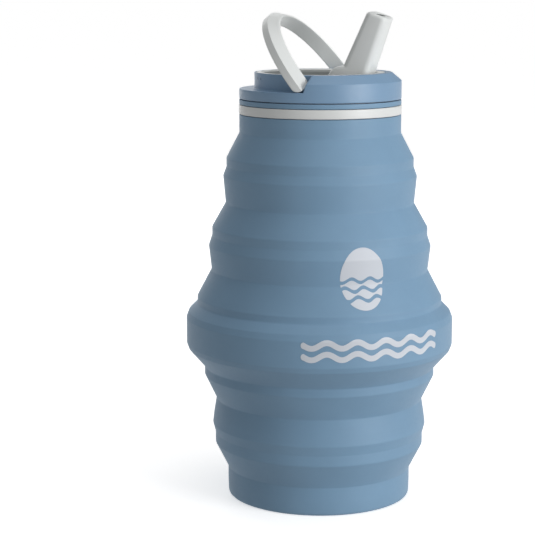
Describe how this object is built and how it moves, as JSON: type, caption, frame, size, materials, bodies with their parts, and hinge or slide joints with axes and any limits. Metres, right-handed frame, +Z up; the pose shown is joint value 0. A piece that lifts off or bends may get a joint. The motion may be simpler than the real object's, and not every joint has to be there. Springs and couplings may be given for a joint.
{
  "type": "folding water bottle",
  "caption": "Collapsible silicone drinking bottle: a stepped body that folds ring into ring, with a screw lid, a flip-up spout and a swinging carry handle.",
  "frame": {"origin": "centre of the base, on the surface that the bottle stands on, with the body extended", "axes": "+Z up along the bottle; +X the way the open spout leans; the raised handle leans to -X; both pivots lie along Y"},
  "size_m": [0.127, 0.127, 0.2308],
  "materials": {
    "blue_silicone": "matte",
    "blue_shell": "satin",
    "pale_grey": "satin",
    "light_grey": "satin",
    "clear_silicone": "matte",
    "steel": "brushed"
  },
  "bodies": {
    "base": {"base_floor": "blue_silicone", "base_wall": "blue_silicone", "fold_5": "blue_silicone"},
    "ring_low": {"lower_ring": "blue_silicone", "fold_4": "blue_silicone"},
    "band": {"wide_band": "blue_silicone", "fold_3": "blue_silicone"},
    "ring_mid": {"middle_ring": "blue_silicone", "fold_2": "blue_silicone"},
    "ring_up": {"upper_ring": "blue_silicone", "fold_1": "blue_silicone"},
    "neck": {"neck_sleeve": "blue_silicone", "neck_ring": "pale_grey", "thread_insert": "pale_grey"},
    "lid_lifter": {"lid_gasket": "clear_silicone"},
    "lid": {"lid_base": "blue_shell", "lid_shell": "blue_shell", "spout_tray": "light_grey", "spout_pin": "steel", "port_seal": "clear_silicone", "vent_valve": "clear_silicone"},
    "spout": {"spout": "light_grey"},
    "handle": {"handle": "light_grey"}
  },
  "joints": [
    {"name": "collapse", "type": "slide", "parent": "base", "child": "ring_low", "axis": [0, 0, -1], "range_m": [0, 0.0324], "deforming": ["fold_5"]},
    {"name": "fold_4_travel", "type": "slide", "parent": "ring_low", "child": "band", "axis": [0, 0, -1], "range_m": [0, 0.0356], "deforming": ["fold_4"]},
    {"name": "fold_3_travel", "type": "slide", "parent": "band", "child": "ring_mid", "axis": [0, 0, -1], "range_m": [0, 0.0231], "deforming": ["fold_3"]},
    {"name": "fold_2_travel", "type": "slide", "parent": "ring_mid", "child": "ring_up", "axis": [0, 0, -1], "range_m": [0, 0.0303], "deforming": ["fold_2"]},
    {"name": "fold_1_travel", "type": "slide", "parent": "ring_up", "child": "neck", "axis": [0, 0, -1], "range_m": [0, 0.0306], "deforming": ["fold_1"]},
    {"name": "lid_lift", "type": "slide", "parent": "neck", "child": "lid_lifter", "axis": [0, 0, 1], "range_m": [0, 0.036]},
    {"name": "lid_turn", "type": "hinge", "parent": "lid_lifter", "child": "lid", "pos_m": [0, 0, 0.1908], "axis": [0, 0, 1], "range_deg": [0, 1080]},
    {"name": "spout_flip", "type": "hinge", "parent": "lid", "child": "spout", "pos_m": [0.0182, 0, 0.1975], "axis": [0, 1, 0], "range_deg": [-108.5, 0]},
    {"name": "handle_swing", "type": "hinge", "parent": "lid", "child": "handle", "pos_m": [0.0013, 0, 0.1991], "axis": [0, 1, 0], "range_deg": [-52.5, 55]}
  ],
  "couplings": [
    {"joint": "fold_4_travel", "follows": "collapse", "ratio": 1.0988},
    {"joint": "fold_3_travel", "follows": "collapse", "ratio": 0.71296},
    {"joint": "fold_2_travel", "follows": "collapse", "ratio": 0.93519},
    {"joint": "fold_1_travel", "follows": "collapse", "ratio": 0.94444},
    {"joint": "lid_lift", "follows": "lid_turn", "m_per_rad": 0.0019099}
  ]
}
